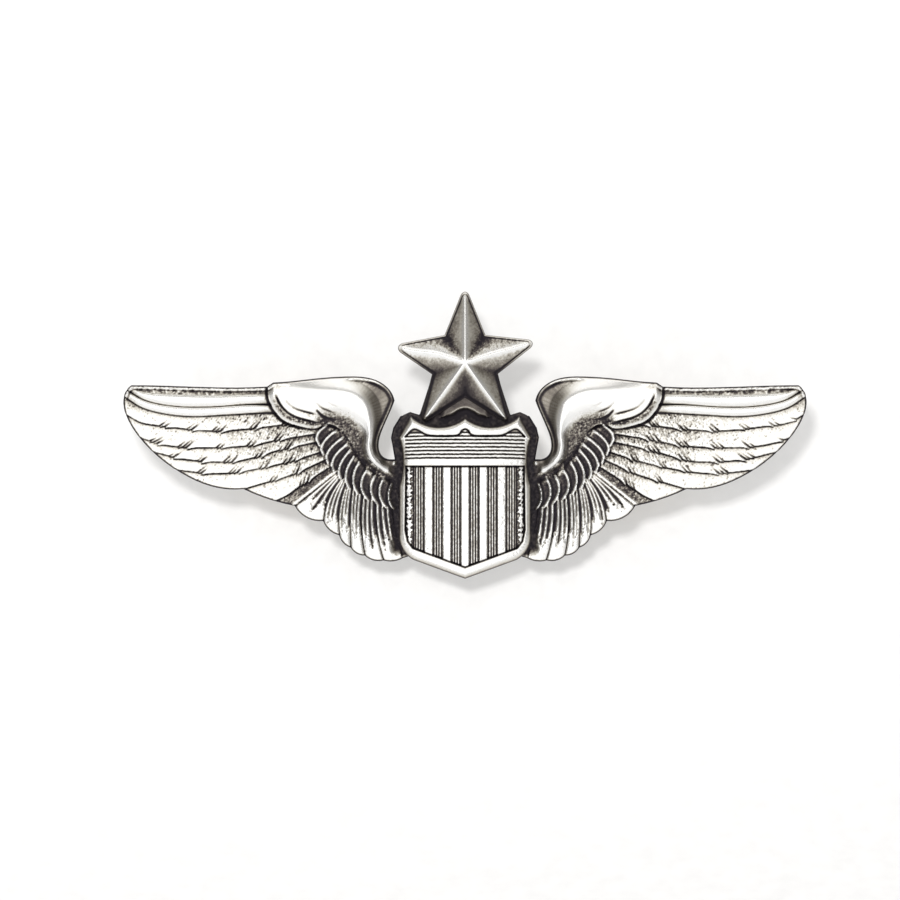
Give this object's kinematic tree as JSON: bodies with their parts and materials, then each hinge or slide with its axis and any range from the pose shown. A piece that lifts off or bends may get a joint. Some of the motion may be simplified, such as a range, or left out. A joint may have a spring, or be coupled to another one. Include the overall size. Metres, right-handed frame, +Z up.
{
  "type": "pilot wings pin",
  "caption": "Struck silver badge of two feathered wings, a striped shield and a faceted star, worn on two posts with sprung butterfly clutches.",
  "frame": {"origin": "on the badge's flat back, halfway between the two posts", "axes": "+X to the right of someone who looks at the badge, +Z up towards the star, and the badge faces -Y, so the posts and clutches stand along +Y"},
  "size_m": [0.077, 0.0125, 0.0323],
  "materials": {
    "antique_silver": "satin",
    "post_metal": "satin",
    "clutch_brass": "satin"
  },
  "bodies": {
    "badge": {"wings_plate": "antique_silver", "shield": "antique_silver", "star": "antique_silver", "left_post": "post_metal", "right_post": "post_metal"},
    "left_keeper": {"left_clutch_keeper_disc": "clutch_brass"},
    "left_spring": {"left_clutch_spring_cage": "clutch_brass"},
    "left_outer_lever": {"left_clutch_outer_wing": "clutch_brass"},
    "left_inner_lever": {"left_clutch_inner_wing": "clutch_brass"},
    "right_keeper": {"right_clutch_keeper_disc": "clutch_brass"},
    "right_spring": {"right_clutch_spring_cage": "clutch_brass"},
    "right_outer_lever": {"right_clutch_outer_wing": "clutch_brass"},
    "right_inner_lever": {"right_clutch_inner_wing": "clutch_brass"}
  },
  "joints": [
    {"name": "left_clutch_slide", "type": "slide", "parent": "badge", "child": "left_keeper", "axis": [0, 1, 0], "range_m": [-0.003, 0.006]},
    {"name": "left_clutch_spin", "type": "hinge", "parent": "left_keeper", "child": "left_spring", "pos_m": [-0.019, 0.00315, 0], "axis": [0, 1, 0], "continuous": true},
    {"name": "left_outer_pinch", "type": "hinge", "parent": "left_spring", "child": "left_outer_lever", "pos_m": [-0.02155, 0.0056, 0], "axis": [0, 0, -1], "range_deg": [0, 15], "stiffness_Nm_per_rad": 0.0005},
    {"name": "left_inner_pinch", "type": "hinge", "parent": "left_spring", "child": "left_inner_lever", "pos_m": [-0.01645, 0.0056, 0], "axis": [0, 0, 1], "range_deg": [0, 15], "stiffness_Nm_per_rad": 0.0005},
    {"name": "right_clutch_slide", "type": "slide", "parent": "badge", "child": "right_keeper", "axis": [0, 1, 0], "range_m": [-0.003, 0.006]},
    {"name": "right_clutch_spin", "type": "hinge", "parent": "right_keeper", "child": "right_spring", "pos_m": [0.019, 0.00315, 0], "axis": [0, 1, 0], "continuous": true},
    {"name": "right_outer_pinch", "type": "hinge", "parent": "right_spring", "child": "right_outer_lever", "pos_m": [0.02155, 0.0056, 0], "axis": [0, 0, 1], "range_deg": [0, 15], "stiffness_Nm_per_rad": 0.0005},
    {"name": "right_inner_pinch", "type": "hinge", "parent": "right_spring", "child": "right_inner_lever", "pos_m": [0.01645, 0.0056, 0], "axis": [0, 0, -1], "range_deg": [0, 15], "stiffness_Nm_per_rad": 0.0005}
  ],
  "couplings": [
    {"joint": "left_inner_pinch", "follows": "left_outer_pinch", "ratio": 1},
    {"joint": "right_inner_pinch", "follows": "right_outer_pinch", "ratio": 1}
  ]
}
